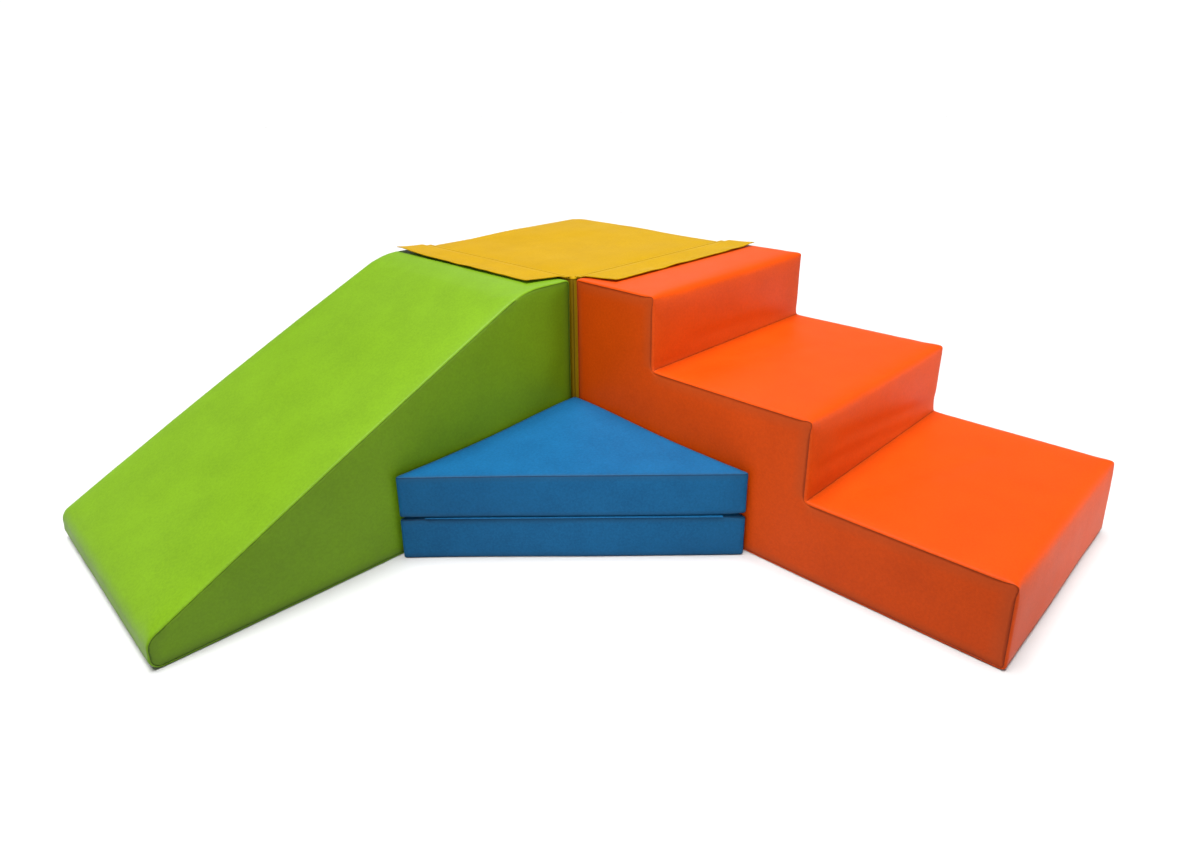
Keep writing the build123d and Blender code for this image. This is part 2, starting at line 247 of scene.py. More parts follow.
def seamAroundSides(piece, axis, insetWidth, rounding):
    # a seam inside the outline of both side faces, and a rounded outline
    pick(piece, "FACE", lambda face: abs(face.normal[axis]) > 0.99)
    bpy.ops.mesh.inset(
        thickness=mm(insetWidth), depth=0, use_boundary=True, use_even_offset=True
    )
    bpy.ops.mesh.region_to_loop()
    bpy.ops.mesh.mark_seam(clear=False)
    roundEdges(
        piece,
        lambda edge: len(edge.link_faces) == 2
        and min(abs(face.normal[axis]) for face in edge.link_faces) < 0.5
        and max(abs(face.normal[axis]) for face in edge.link_faces) > 0.99,
        rounding,
        3,
    )


# Softness: a cover is filled by cloth simulation, then puckered along its seams

coverValues = {
    "gridPitch": 15,
    "seamInset": 4.6,
    "edgeRounding": 3.4,
    "fillFrames": 20,
    "pressure": 4,
    "puckerDepth": 0.5,
    "puckerReach": 22,
    "puckerStart": 4,
    "puckerSize": 26,
    "waveDepth": 0.9,
    "waveSize": 170,
    "grooveWidth": 1.3,
    "grooveDepth": 1.5,
    "lipHeight": 0.3,
    "creaseReach": 7,  # a crease takes hold this close to its panel
    "topFull": 2,  # foam stands a little above its nominal height
    "offFloor": 0.1,
}


# coated fabric hardly stretches, and bends with some stiffness
clothValues = {
    "quality": 4,
    "mass": 0.3,
    "tension_stiffness": 25,
    "compression_stiffness": 25,
    "shear_stiffness": 12,
    "bending_stiffness": 2,
}


def bowOut(piece, low, high, axis, along, amount):
    # a side stands proudest at its middle and pulls in towards its corners
    middle = [(a + b) / 2 for a, b in zip(low, high)]
    half = [(b - a) / 2 for a, b in zip(low, high)]
    for vertex in piece.data.vertices:
        place = (vertex.co[along] - middle[along]) / half[along]
        side = (vertex.co[axis] - middle[axis]) / half[axis]
        vertex.co[axis] += mm(amount) * side * max(0, 1 - place * place)


def seamVertices(piece):
    found = set()
    for edge in piece.data.edges:
        if edge.use_seam:
            found.update(edge.vertices)
    return found


def fillCover(piece, cap, floor):
    # air pressure swells the panels between their seams; the base stays on what it rests on
    start = [vertex.co.copy() for vertex in piece.data.vertices]
    held = seamVertices(piece)
    held.update(v.index for v in piece.data.vertices if v.co.z < floor + mm(1))
    group = piece.vertex_groups.new(name="held")
    group.add(list(held), 1, "REPLACE")
    takeUp(piece)
    bpy.ops.object.modifier_add(type="CLOTH")
    cloth = piece.modifiers[-1]
    for name, value in clothValues.items():
        setattr(cloth.settings, name, value)
    cloth.settings.vertex_group_mass = "held"
    cloth.settings.use_pressure = True
    cloth.settings.uniform_pressure_force = coverValues["pressure"]
    cloth.settings.effector_weights.gravity = 0
    cloth.point_cache.frame_start = 1
    cloth.point_cache.frame_end = coverValues["fillFrames"]
    for frameNumber in range(1, coverValues["fillFrames"] + 1):
        bpy.context.scene.frame_set(frameNumber)
    bpy.ops.object.modifier_apply(modifier=cloth.name)
    bpy.context.scene.frame_set(1)
    piece.vertex_groups.clear()
    furthest = 0
    for vertex, old in zip(piece.data.vertices, start):
        move = vertex.co - old
        furthest = max(furthest, move.length)
        vertex.co = old + move * (mm(cap) / (mm(cap) + move.length))
    print("  filled", piece.name, len(start), "points, furthest", round(furthest * 1000, 1))


def pucker(piece, seed):
    # small folds that run out from the nearest seam, and slow waves over the whole cover
    held = sorted(seamVertices(piece))
    tree = KDTree(len(held))
    for index in held:
        tree.insert(piece.data.vertices[index].co, index)
    tree.balance()
    offset = Vector((seed, 2 * seed, 3 * seed))
    normals = [vertex.normal.copy() for vertex in piece.data.vertices]
    for vertex, normal in zip(piece.data.vertices, normals):
        seamPoint, index, distance = tree.find(vertex.co)
        fold = noise.noise(seamPoint / mm(coverValues["puckerSize"]) + offset)
        share = exp(-distance / mm(coverValues["puckerReach"]))
        share *= min(1, distance / mm(coverValues["puckerStart"]))
        wave = noise.noise(vertex.co / mm(coverValues["waveSize"]) + offset)
        rise = coverValues["puckerDepth"] * fold * share + coverValues["waveDepth"] * wave
        vertex.co += normal * mm(rise)


def crease(piece, axis, level, fold):
    # a soft straight fold in a flat panel; its ends are places across the axis
    first, last = (Vector([mm(v) for v in place]) for place in (fold["from"], fold["to"]))
    run = last - first
    for vertex in piece.data.vertices:
        if abs(vertex.co[axis] - level) > mm(coverValues["creaseReach"]):
            continue
        place = Vector([vertex.co[a] for a in range(3) if a != axis])
        share = min(max((place - first).dot(run) / run.length_squared, 0), 1)
        away = (place - first - run * share).length
        ends = sin(pi * min(max(share, 0.08), 0.92)) ** 0.5
        side = -1 if axis == 1 else 1
        vertex.co[axis] -= side * mm(fold["depth"]) * ends * exp(-(away / mm(fold["width"])) ** 2)


def keepWithin(piece, low, high):
    # pressed flat where it meets the floor or a neighbour
    for vertex in piece.data.vertices:
        for axis in range(3):
            vertex.co[axis] = min(max(vertex.co[axis], low[axis]), high[axis])


def sewSeams(piece, values):
    # each seam becomes a narrow groove between two lips; the groove, and the lips a little, get
    # painted shade
    widen = values["seamWiden"]
    openEdit(piece)
    pick(piece, "EDGE", lambda edge: edge.seam)
    bpy.ops.mesh.mark_seam(clear=True)
    bpy.ops.mesh.bevel(
        offset_type="OFFSET", offset=mm(coverValues["grooveWidth"] * widen), segments=2,
        profile=1, affect="EDGES", clamp_overlap=True,
    )
    mesh = bmesh.from_edit_mesh(piece.data)
    shade = mesh.verts.layers.float.new("seamShade")
    lip = mesh.verts.layers.float.new("seamLip")
    strip = {face for face in mesh.faces if face.select}
    # seamShade carries the painted seam shade; seamLip marks the lips, which the fabric paints
    # paler as a highlight
    for face in strip:
        for vertex in face.verts:
            inside = all(other in strip for other in vertex.link_faces)
            vertex[shade] = 1 if inside else values["seamShade"]
            vertex[lip] = 0 if inside else 1
    moves = []
    groove = coverValues["grooveDepth"] * widen
    for vertex in {v for face in strip for v in face.verts}:
        depth = coverValues["lipHeight"] if vertex[lip] > 0 else -groove
        moves.append((vertex, vertex.normal * mm(depth)))
    for vertex, move in moves:
        vertex.co += move
    bmesh.update_edit_mesh(piece.data)
    closeEdit()


# Each cover has a slot with a zip behind it, in the base or in a side of the mat

zipValues = {
    "slotWidth": 12,
    "slotLength": 384,
    "matSlotLength": 316,
    "slotDepth": 6,
}


def slotAt(tape, length, axis, side):
    # the slot lies along the middle of its tape, open to one side of an axis
    low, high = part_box(tape)
    middle = [(a + b) / 2 for a, b in zip(low, high)]
    half = [mm(zipValues["slotWidth"]) / 2] * 3
    longest = max(range(3), key=lambda axis: high[axis] - low[axis])
    half[longest] = mm(length) / 2
    low, high = ([m + h * sign for m, h in zip(middle, half)] for sign in (-1, 1))
    return low, high, axis, side


def pickSlot(piece, slot, slack, steepness):
    # the faces over the slot, and a little around it
    low, high, axis, side = slot

    def isOver(face):
        place = face.calc_center_median()
        return face.normal[axis] * side > steepness and all(
            low[a] - mm(slack) < place[a] < high[a] + mm(slack) for a in range(3) if a != axis
        )
    pick(piece, "FACE", isOver)


def cutSlot(piece, slot):
    # only the faces around the slot are cut, along its four edges
    low, high, axis, side = slot
    for across in (a for a in range(3) if a != axis):
        for place in (low[across], high[across]):
            pickSlot(piece, slot, coverValues["gridPitch"], 0.99)
            cutPicked(across, place)


def sinkSlot(piece, slot):
    low, high, axis, side = slot
    openEdit(piece)
    pickSlot(piece, slot, 0, 0.7)
    depth = [0, 0, 0]
    depth[axis] = -side * mm(zipValues["slotDepth"])
    bpy.ops.mesh.extrude_region_move(TRANSFORM_OT_translate={"value": depth})
    closeEdit()


def smoothOver(piece):
    addModifier(piece, "SUBSURF", levels=1, render_levels=1)
    for vertex in piece.data.vertices:
        vertex.co.z = max(vertex.co.z, mm(coverValues["offFloor"]))
    bpy.ops.object.shade_smooth()


def closeCover(piece, values, seed, box, spare, slot):
    # spare: how far past its finished box the cover may swell, on each side in turn
    pucker(piece, seed)
    keepWithin(piece, *drawnIn(*box, [-amount for amount in spare]))
    sinkSlot(piece, slot)
    sewSeams(piece, values)
    smoothOver(piece)


def boxOf(*names):
    corners = [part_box(name) for name in names]
    low = [min(corner[0][axis] for corner in corners) for axis in range(3)]
    high = [max(corner[1][axis] for corner in corners) for axis in range(3)]
    return low, high


def softNodes(prefix):
    # the panels and the foam that one finished cushion stands for
    return [
        name for name in sorted(frame["nodes"])
        if name.startswith(prefix) and any(part in name for part in ("_panel", "_band", "_core"))
    ]


def drawnIn(low, high, insets):
    # insets: x low, x high, y low, y high, z low, z high
    newLow = [low[axis] + mm(insets[2 * axis]) for axis in range(3)]
    newHigh = [high[axis] - mm(insets[2 * axis + 1]) for axis in range(3)]
    return newLow, newHigh


# Materials

def linear(hexColour):
    values = []
    for start in (0, 2, 4):
        share = int(hexColour[start:start + 2], 16) / 255
        values.append(share / 12.92 if share <= 0.04045 else ((share + 0.055) / 1.055) ** 2.4)
    return (*values, 1)


def addNode(tree, kind, settings=None, links=None):
    node = tree.nodes.new("ShaderNode" + kind)
    for name, value in (settings or {}).items():
        if isinstance(name, int) or name in node.inputs:
            node.inputs[name].default_value = value
        else:
            setattr(node, name, value)
    for name, source in (links or {}).items():
        tree.links.new(source, node.inputs[name])
    return node


def newMaterial(name):
    material = bpy.data.materials.new(name)
    material.use_nodes = True
    tree = material.node_tree
    tree.nodes.clear()
    return material, tree


def newFinish(name):
    # also gives the link that lays a texture on the piece's own coordinates
    material, tree = newMaterial(name)
    return material, tree, {"Vector": addNode(tree, "TexCoord").outputs["Object"]}


def inRelief(material, tree, colour, height, relief, settings, links=None):
    # relief: the bump's strength, and its depth in millimetres
    bump = addNode(
        tree, "Bump", {"Strength": relief[0], "Distance": mm(relief[1])},
        {"Height": height},
    )
    surface = addNode(
        tree, "BsdfPrincipled", settings,
        {"Base Color": colour, "Normal": bump.outputs["Normal"], **(links or {})},
    )
    addNode(tree, "OutputMaterial", None, {"Surface": surface.outputs["BSDF"]})
    return material


# Coated upholstery fabric: a polyurethane film with an embossed grain on a knitted backing.
# The film gives a matte, even colour with a low broad highlight. Painted shade darkens the seam
# grooves, and a painted highlight makes the lips a little paler.
leatherValues = {
    "grain": 2.4,  # the real grain is 0.6 mm, too fine to show, so it is drawn four times as wide
    "grainDepth": 0.05,
    "grainStrength": 0.35,
    "lipHighlightShare": 0.35,  # how much of the painted highlight on the lips shows
    "mottle": 90,
    "speckle": 5,  # the grain's own light and dark, drawn coarser too
    "smudge": 260,
    "roughness": 0.5,
}


def coatedFabric(name, sheen, mainHex, deepHex, seamShadeHex, lipHighlightHex):
    material, tree, onPiece = newFinish(name)
    rough = leatherValues["roughness"]
    shares = []
    # soft patches: their size, detail and roughness, the range that shows, what it becomes
    for size, detail, roughness, shown, becomes in (
        ("mottle", 4, 0.6, (0.35, 0.7), (0, 0.4)),
        ("speckle", 2, 0.7, (0.32, 0.68), (0, 0.6)),
        ("smudge", 3, 0.5, (0.3, 0.7), (rough - 0.06, rough + 0.08)),
    ):
        patches = addNode(
            tree, "TexNoise",
            {"Scale": 1 / mm(leatherValues[size]), "Detail": detail, "Roughness": roughness},
            onPiece,
        )
        share = addNode(
            tree, "MapRange",
            {"From Min": shown[0], "From Max": shown[1],
             "To Min": becomes[0], "To Max": becomes[1]},
            {"Value": patches.outputs["Fac"]},
        )
        shares.append(share.outputs["Result"])
    mottle, speckle, gloss = shares
    depth = addNode(tree, "Math", {"operation": "ADD"}, {0: mottle, 1: speckle})
    seamLip = addNode(tree, "Attribute", {"attribute_name": "seamLip"})
    lip = addNode(
        tree, "Math", {"operation": "MULTIPLY", 1: leatherValues["lipHighlightShare"]},
        {0: seamLip.outputs["Fac"]},
    )
    seam = addNode(tree, "Attribute", {"attribute_name": "seamShade"})
    # over the main colour lie its deeper tone, the painted highlight on the lips and the painted
    # shade of the seams
    below = {}
    for share, hexColour in (
        (depth.outputs[0], deepHex), (lip.outputs[0], lipHighlightHex), (seam.outputs["Fac"], seamShadeHex),
    ):
        colour = addNode(
            tree, "Mix",
            {"data_type": "RGBA", 6: linear(mainHex), 7: linear(hexColour)}, {0: share, **below},
        )
        below = {6: colour.outputs[2]}
    grain = addNode(
        tree, "TexVoronoi",
        {"feature": "DISTANCE_TO_EDGE", "Scale": 1 / mm(leatherValues["grain"])}, onPiece,
    )
    edges = addNode(tree, "MapRange", {"From Max": 0.25}, {"Value": grain.outputs["Distance"]})
    return inRelief(
        material, tree, colour.outputs[2], edges.outputs["Result"],
        (leatherValues["grainStrength"], leatherValues["grainDepth"]),
        {"IOR": 1.5, "Specular IOR Level": sheen}, {"Roughness": gloss},
    )


def textured(material, tree, pattern, hexes, relief, settings, links=None):
    # a pattern that runs from one colour to another and stands out
    tone = addNode(
        tree, "Mix",
        {"data_type": "RGBA", 6: linear(hexes[0]), 7: linear(hexes[1])}, {0: pattern},
    )
    return inRelief(material, tree, tone.outputs[2], pattern, relief, settings, links)


# The knitted polyester backing of the coated fabric, pale and fuzzy, seen at cut edges
def knitFabric(name, mainHex, shadowHex, stitch):
    material, tree, onPiece = newFinish(name)
    loops = addNode(tree, "TexVoronoi", {"Scale": 1 / mm(stitch), "Randomness": 0.6}, onPiece)
    return textured(
        material, tree, loops.outputs["Distance"], (mainHex, shadowHex), (0.5, 0.3),
        {"Roughness": 0.9, "Sheen Weight": 0.3},
    )


print("materials")
# each fabric: sheen, main colour, deeper tone, painted shade for the seams, painted highlight for
# the lips
yellowFabric = coatedFabric("yellowCoatedFabric", 0.03, "ab8600", "9c7800", "3c2c04", "b8942a")
greenFabric = coatedFabric("greenCoatedFabric", 0.18, "6b930f", "5e820b", "1c3404", "7ca228")
orangeFabric = coatedFabric("orangeCoatedFabric", 0.12, "c54302", "b33b00", "541602", "d65c26")
blueFabric = coatedFabric("blueCoatedFabric", 0.1, "125885", "0a4872", "031a2e", "306c98")
knitBacking = knitFabric("knitBacking", "c9c6b8", "9c998c", 1.6)


waveRepeat = 0.314  # at scale 1, a wave texture repeats after this length


def wovenTape(name, mainHex, shadowHex, rib, sheen):
    # woven narrow tape: fine ribs across, with a soft sheen along the threads
    material, tree, onPiece = newFinish(name)
    ribs = addNode(
        tree, "TexWave",
        {"bands_direction": "DIAGONAL", "Scale": waveRepeat / mm(rib), "Distortion": 0.6,
         "Detail": 2},
        onPiece,
    )
    fluff = addNode(
        tree, "TexNoise", {"Scale": 1 / mm(6), "Detail": 5, "Roughness": 0.7}, onPiece
    )
    share = addNode(
        tree, "Math", {"operation": "MULTIPLY"},
        {0: ribs.outputs["Fac"], 1: fluff.outputs["Fac"]},
    )
    return textured(
        material, tree, share.outputs[0], (shadowHex, mainHex), (0.6, 0.25),
        {"Roughness": 0.8, "Sheen Weight": sheen},
    )


# Hook tape: stiff nylon hooks stand in rows on a woven ground, and look like short bristles.
# Loop tape: brushed polyester loops, soft and matte, with no rows to be seen.
def pileTape(name, mainHex, shadowHex, pitch, order, depth, roughness):
    material, tree, onPiece = newFinish(name)
    tufts = addNode(tree, "TexVoronoi", {"Scale": 1 / mm(pitch), "Randomness": order}, onPiece)
    crown = addNode(
        tree, "MapRange", {"From Max": 0.6, "To Min": 1, "To Max": 0},
        {"Value": tufts.outputs["Distance"]},
    )
    return textured(
        material, tree, crown.outputs["Result"], (shadowHex, mainHex), (0.9, depth),
        {"Roughness": roughness, "Sheen Weight": 0.25},
    )


# Zip coil: extruded nylon wound in a coil, smooth and slightly glossy, one turn each 1.5 mm
def coilNylon(name, mainHex, shadowHex, turn):
    material, tree, onPiece = newFinish(name)
    turns = addNode(
        tree, "TexWave", {"bands_direction": "DIAGONAL", "Scale": waveRepeat / mm(turn)}, onPiece
    )
    return textured(
        material, tree, turns.outputs["Fac"], (shadowHex, mainHex), (0.8, 0.4),
        {"Roughness": 0.35, "IOR": 1.53},
    )


# Zip slider: die-cast zinc with a thin nickel plating, satin, faintly rubbed
def castZinc(name, mainHex, wornHex):
    material, tree, onPiece = newFinish(name)
    rub = addNode(
        tree, "TexNoise", {"Scale": 1 / mm(7), "Detail": 5, "Roughness": 0.65}, onPiece
    )
    gloss = addNode(
        tree, "MapRange", {"From Min": 0.3, "From Max": 0.7, "To Min": 0.26, "To Max": 0.42},
        {"Value": rub.outputs["Fac"]},
    )
    return textured(
        material, tree, rub.outputs["Fac"], (mainHex, wornHex), (0.25, 0.1), {"Metallic": 1},
        {"Roughness": gloss.outputs["Result"]},
    )


zipTapeFinish = wovenTape("wovenPolyesterTape", "3a3a3c", "1c1c1e", 1.2, 0.3)
zipCoilFinish = coilNylon("extrudedNylonCoil", "2c2c2e", "101012", 1.5)
zipSliderFinish = castZinc("platedCastZinc", "b9b7b2", "8f8c86")
hookFinish = pileTape("nylonHookTape", "d9d6cc", "a8a498", 1.8, 0.15, 0.9, 0.55)
loopFinish = pileTape("brushedLoopTape", "dedbd2", "b2aea4", 1.3, 1, 0.6, 0.95)

print("zips")
zipFinishes = {
    "_zip_tape": zipTapeFinish, "_zip_coil": zipCoilFinish, "_zip_slider": zipSliderFinish,
}
for nodeName, node in frame["nodes"].items():
    for ending, finish in zipFinishes.items():
        if nodeName.endswith(ending):
            for materialSlot in node.material_slots:
                materialSlot.material = finish
            if not node.material_slots:
                node.data.materials.append(finish)


def addGrid(name, along, across):
    clearPicks()
    bpy.ops.mesh.primitive_grid_add(x_subdivisions=along, y_subdivisions=across, size=1)
    piece = bpy.context.active_object
    piece.name = piece.data.name = name
    return piece


def alignFaces(piece):
    openEdit(piece)
    pickAll()
    bpy.ops.mesh.normals_make_consistent(inside=False)
    closeEdit()


def faceUp(piece):
    alignFaces(piece)
    if piece.data.polygons[0].normal.z < 0:
        openEdit(piece)
        pickAll()
        bpy.ops.mesh.flip_normals()
        closeEdit()


def dress(piece, material):
    piece.data.materials.clear()
    piece.data.materials.append(material)


# The corner block

blockValues = {
    "bow": 4,
    "start": 0.8,  # how far inside its finished size the cover starts
    "topStart": 1,
    "cornerRounding": 28,
    "cap": 1.8,
    "seamWiden": 1.2,
    # the share of painted seam shade on the lips, high here so the block's corner in the nook
    # looks shaded
    "seamShade": 0.4,
    "crown": 5,
    "crownFrom": 128,
    "crownRun": 220,
}

print("corner block")
blockNodes = softNodes("block_")
blockLow, blockHigh = boxOf(*blockNodes)
blockDraw = blockValues["bow"] + blockValues["start"]
boxLow, boxHigh = drawnIn(blockLow, blockHigh, (blockDraw,) * 4 + (0, blockValues["topStart"]))
blockCover = addBlank("blockCover", boxLow, boxHigh)
openEdit(blockCover)
corner = mm(blockValues["cornerRounding"])
roundEdges(blockCover, lambda edge: runsAlong(edge, 2), blockValues["cornerRounding"], 4)
seamLow = boxLow[2] + mm(coverValues["seamInset"])
seamHigh = boxHigh[2] - mm(coverValues["seamInset"])
cutAcross(2, [seamLow, seamHigh])
roundEdges(
    blockCover,
    lambda edge: any(near(edgeMiddle(edge).z, level) for level in (boxLow[2], boxHigh[2]))
    and not all(abs(face.normal.z) > 0.5 for face in edge.link_faces),
    coverValues["edgeRounding"],
    3,
)
pitch = coverValues["gridPitch"]
for axis in (0, 1):
    cutAcross(axis, spread(boxLow[axis] + corner, boxHigh[axis] - corner, pitch))
cutAcross(2, spread(seamLow, seamHigh, pitch))
blockMiddle = [(a + b) / 2 for a, b in zip(boxLow, boxHigh)]
blockSlot = slotAt("block_zip_tape", zipValues["slotLength"], 2, -1)
cutSlot(blockCover, blockSlot)


def onBlockSeam(edge):
    middle = edgeMiddle(edge)
    if near(middle.z, seamLow) or near(middle.z, seamHigh):
        return not runsAlong(edge, 2)
    if not runsAlong(edge, 2) or not seamLow < middle.z < seamHigh:
        return False
    return near(abs(middle.x - blockMiddle[0]), abs(middle.y - blockMiddle[1]))


markSeams(blockCover, onBlockSeam)
closeEdit()
# the top is level where a turned-back flap lies, and crowned beyond it
for vertex in blockCover.data.vertices:
    inward = min(vertex.co.x - blockLow[0], vertex.co.y - blockLow[1])
    share = (inward - mm(blockValues["crownFrom"])) / mm(blockValues["crownRun"])
    share = min(max(share, 0), 1)
    level = (vertex.co.z - boxLow[2]) / (boxHigh[2] - boxLow[2])
    vertex.co.z += mm(blockValues["crown"]) * share * share * (3 - 2 * share) * level ** 8
bowOut(blockCover, boxLow, boxHigh, 0, 1, blockValues["bow"])
bowOut(blockCover, boxLow, boxHigh, 1, 0, blockValues["bow"])
fillCover(blockCover, blockValues["cap"], boxLow[2])
blockSpare = (0.6, 2, 0.6, 2, 0, blockValues["crown"] + 0.2)
closeCover(blockCover, blockValues, 1, (blockLow, blockHigh), blockSpare, blockSlot)
dress(blockCover, yellowFabric)
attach(blockCover, "corner_block")
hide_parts(*blockNodes)


# The ramp

rampValues = {
    "flatLength": 145,
    "noseHeight": 62,
    "crestRounding": 46,
    "slopeCrown": 6,
    "noseRounding": 18,
    "noseBaseRounding": 22,
    "baseRounding": 9,
    "backRounding": 16,
    "bow": 4,
    "sideStart": 0.8,
    "start": 1,
    "cap": 2,
    "seamWiden": 1.2,
    "seamShade": 0.35,
    "levels": 30,
}

print("ramp")
rampNodes = softNodes("ramp_")
rampLow, rampHigh = boxOf(*rampNodes)
rampSide = rampValues["bow"] + rampValues["sideStart"]
topFull = coverValues["topFull"]
rampStart = rampValues["start"]
boxLow, boxHigh = drawnIn(
    rampLow, rampHigh, (rampStart, rampStart, rampSide, rampSide, 0, rampStart - topFull)
)
rampCover = addBlank("rampCover", boxLow, boxHigh)
openEdit(rampCover)
crest = rampHigh[0] - mm(rampValues["flatLength"])
noseTop = mm(rampValues["noseHeight"] - rampStart)
cutAcross(0, [crest])
pick(rampCover, "VERT", lambda v: near(v.co.x, boxLow[0]) and near(v.co.z, boxHigh[2]))
bpy.ops.transform.translate(value=(0, 0, noseTop - boxHigh[2]))


def acrossAt(axis, along, level):
    # edges across a wing at one place of its side outline
    def test(edge):
        middle = edgeMiddle(edge)
        return runsAlong(edge, axis) and near(middle[1 - axis], along) and near(middle.z, level)
    return test


for along, level, rounding, steps in (
    (crest, boxHigh[2], "crestRounding", 8),
    (boxLow[0], noseTop, "noseRounding", 5),
    (boxLow[0], boxLow[2], "noseBaseRounding", 5),
    (boxHigh[0], boxLow[2], "baseRounding", 3),
    (boxHigh[0], boxHigh[2], "backRounding", 4),
):
    roundEdges(rampCover, acrossAt(1, along, level), rampValues[rounding], steps)
# level and upright cuts meet on the slope
run = (crest - boxLow[0]) / rampValues["levels"]
rise = (boxHigh[2] - noseTop) / rampValues["levels"]
levels = [noseTop + rise * step for step in range(1, rampValues["levels"])]
slopeEnd = crest - mm(rampValues["crestRounding"])
stations = [boxLow[0] + run * step / 2 for step in range(2, 2 * rampValues["levels"])]
stations = [station for station in stations if station < slopeEnd - mm(3)]
baseLevel = boxLow[2] + mm(rampValues["baseRounding"])
noseBase = boxLow[2] + mm(rampValues["noseBaseRounding"])
cutAcross(2, levels + spread(baseLevel, noseTop, pitch))
flatStart = crest + mm(rampValues["crestRounding"])
flatEnd = boxHigh[0] - mm(rampValues["backRounding"])
cutAcross(0, stations + spread(flatStart, flatEnd, pitch))
cutAcross(1, spread(boxLow[1], boxHigh[1], pitch))
seamAroundSides(rampCover, 1, coverValues["seamInset"], coverValues["edgeRounding"])
rampSlot = slotAt("ramp_zip_tape", zipValues["slotLength"], 2, -1)
cutSlot(rampCover, rampSlot)
backDrop = mm(rampValues["backRounding"]) * (1 - sqrt(0.5))


def onRampSeam(edge):
    middle = edgeMiddle(edge)
    if not runsAlong(edge, 1):
        return False
    backX, backZ = boxHigh[0] - backDrop, boxHigh[2] - backDrop
    onBack = near(middle.x, backX, 0.5) and near(middle.z, backZ, 0.5)
    onBase = near(middle.z, baseLevel) and near(middle.x, boxHigh[0])
    onNose = near(middle.z, noseBase) and near(middle.x, boxLow[0])
    return onBack or onBase or onNose


markSeams(rampCover, onRampSeam)
closeEdit()
# the slope is a little full halfway down
for vertex in rampCover.data.vertices:
    share = (vertex.co.x - boxLow[0]) / (slopeEnd - boxLow[0])
    if 0 < share < 1:
        level = (vertex.co.z - boxLow[2]) / (noseTop + (boxHigh[2] - noseTop) * share - boxLow[2])
        vertex.co.z += mm(rampValues["slopeCrown"]) * 4 * share * (1 - share) * max(0, level)
bowOut(rampCover, boxLow, boxHigh, 1, 0, rampValues["bow"])
fillCover(rampCover, rampValues["cap"], boxLow[2])
rampSpare = (3, 0.6, 0.6, 3, 0, topFull + 0.2)
closeCover(rampCover, rampValues, 2, (rampLow, rampHigh), rampSpare, rampSlot)
dress(rampCover, greenFabric)
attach(rampCover, "ramp")
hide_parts(*rampNodes)


# The stair

stairValues = {
    "treads": (240, 385),
    "noseRounding": 20,
    "sharpReach": 45,
    "sharpness": 0.8,
    "innerRounding": 5,
    "baseRounding": 10,
    "backRounding": 8,
    "baseSeam": 20,  # the seam above the base stays this close to the two ends
    "lean": -5,  # the front bulges out a little at the floor
    "bow": 4,
    "sideStart": 0.8,
    "start": 1,
    "cap": 2,
    "seamWiden": 1.1,
    "seamShade": 0.3,
    # across the middle riser, the upper riser and the lower two treads
    "creases": (
        {"on": "middleRiser", "from": (300, 262), "to": (800, 196), "depth": 7, "width": 11},
        {"on": "middleRiser", "from": (230, 228), "to": (650, 184), "depth": 5.5, "width": 10},
        {"on": "upperRiser", "from": (330, 376), "to": (800, 354), "depth": 3.5, "width": 12},
        {"on": "lowerTread", "from": (250, -470), "to": (640, -600), "depth": 3, "width": 26},
        {"on": "middleTread", "from": (260, -90), "to": (560, -200), "depth": 2.4, "width": 24},
    ),
}

print("stair")
stairNodes = softNodes("stair_")
stairLow, stairHigh = boxOf(*stairNodes)
stairSide = stairValues["bow"] + stairValues["sideStart"]
stairStart = stairValues["start"]
boxLow, boxHigh = drawnIn(
    stairLow, stairHigh, (stairSide, stairSide, stairStart, stairStart, 0, stairStart - topFull)
)
stepRise = (stairHigh[2] - stairLow[2]) / 3
treadLift = mm(topFull - stairStart)
treadTops = [stairLow[2] + stepRise * step + treadLift for step in (1, 2, 3)]
upperRiser = stairHigh[1] - mm(stairValues["treads"][0] - stairStart)
middleRiser = upperRiser - mm(stairValues["treads"][1])
stairCover = addBlank("stairCover", boxLow, (boxHigh[0], boxHigh[1], treadTops[0]))
openEdit(stairCover)
cutAcross(1, [middleRiser, upperRiser])
for riser, top in ((middleRiser, treadTops[0]), (upperRiser, treadTops[1])):
    pick(
        stairCover, "FACE",
        lambda face: face.normal.z > 0.9 and near(face.calc_center_median().z, top)
        and face.calc_center_median().y > riser,
    )
    bpy.ops.mesh.extrude_region_move(TRANSFORM_OT_translate={"value": (0, 0, stepRise)})
pick(stairCover, "VERT", lambda v: near(v.co.y, boxLow[1]) and near(v.co.z, boxLow[2]))
bpy.ops.transform.translate(value=(0, mm(stairValues["lean"]), 0))
risers = (boxLow[1], middleRiser, upperRiser)
for riser, top in zip(risers, treadTops):
    roundEdges(stairCover, acrossAt(0, riser, top), stairValues["noseRounding"], 4)
for riser, top in zip(risers[1:], treadTops):
    roundEdges(stairCover, acrossAt(0, riser, top), stairValues["innerRounding"], 2)
for end in (boxLow[1] + mm(stairValues["lean"]), boxHigh[1]):
    roundEdges(stairCover, acrossAt(0, end, boxLow[2]), stairValues["baseRounding"], 3)
roundEdges(stairCover, acrossAt(0, boxHigh[1], boxHigh[2]), stairValues["backRounding"], 4)
nose = mm(stairValues["noseRounding"])
inner = mm(stairValues["innerRounding"])
ends = [middleRiser, upperRiser, boxHigh[1] - mm(stairValues["backRounding"]) + inner]
starts = [boxLow[1], middleRiser, upperRiser]
for start, end in zip(starts, ends):
    cutAcross(1, spread(start + nose, end - inner, pitch))
baseLevel = boxLow[2] + mm(stairValues["baseRounding"])
lows = [baseLevel, treadTops[0] + inner, treadTops[1] + inner]
for low, top in zip(lows, treadTops):
    cutAcross(2, spread(low, top - nose, pitch))
cutAcross(0, spread(boxLow[0], boxHigh[0], pitch))
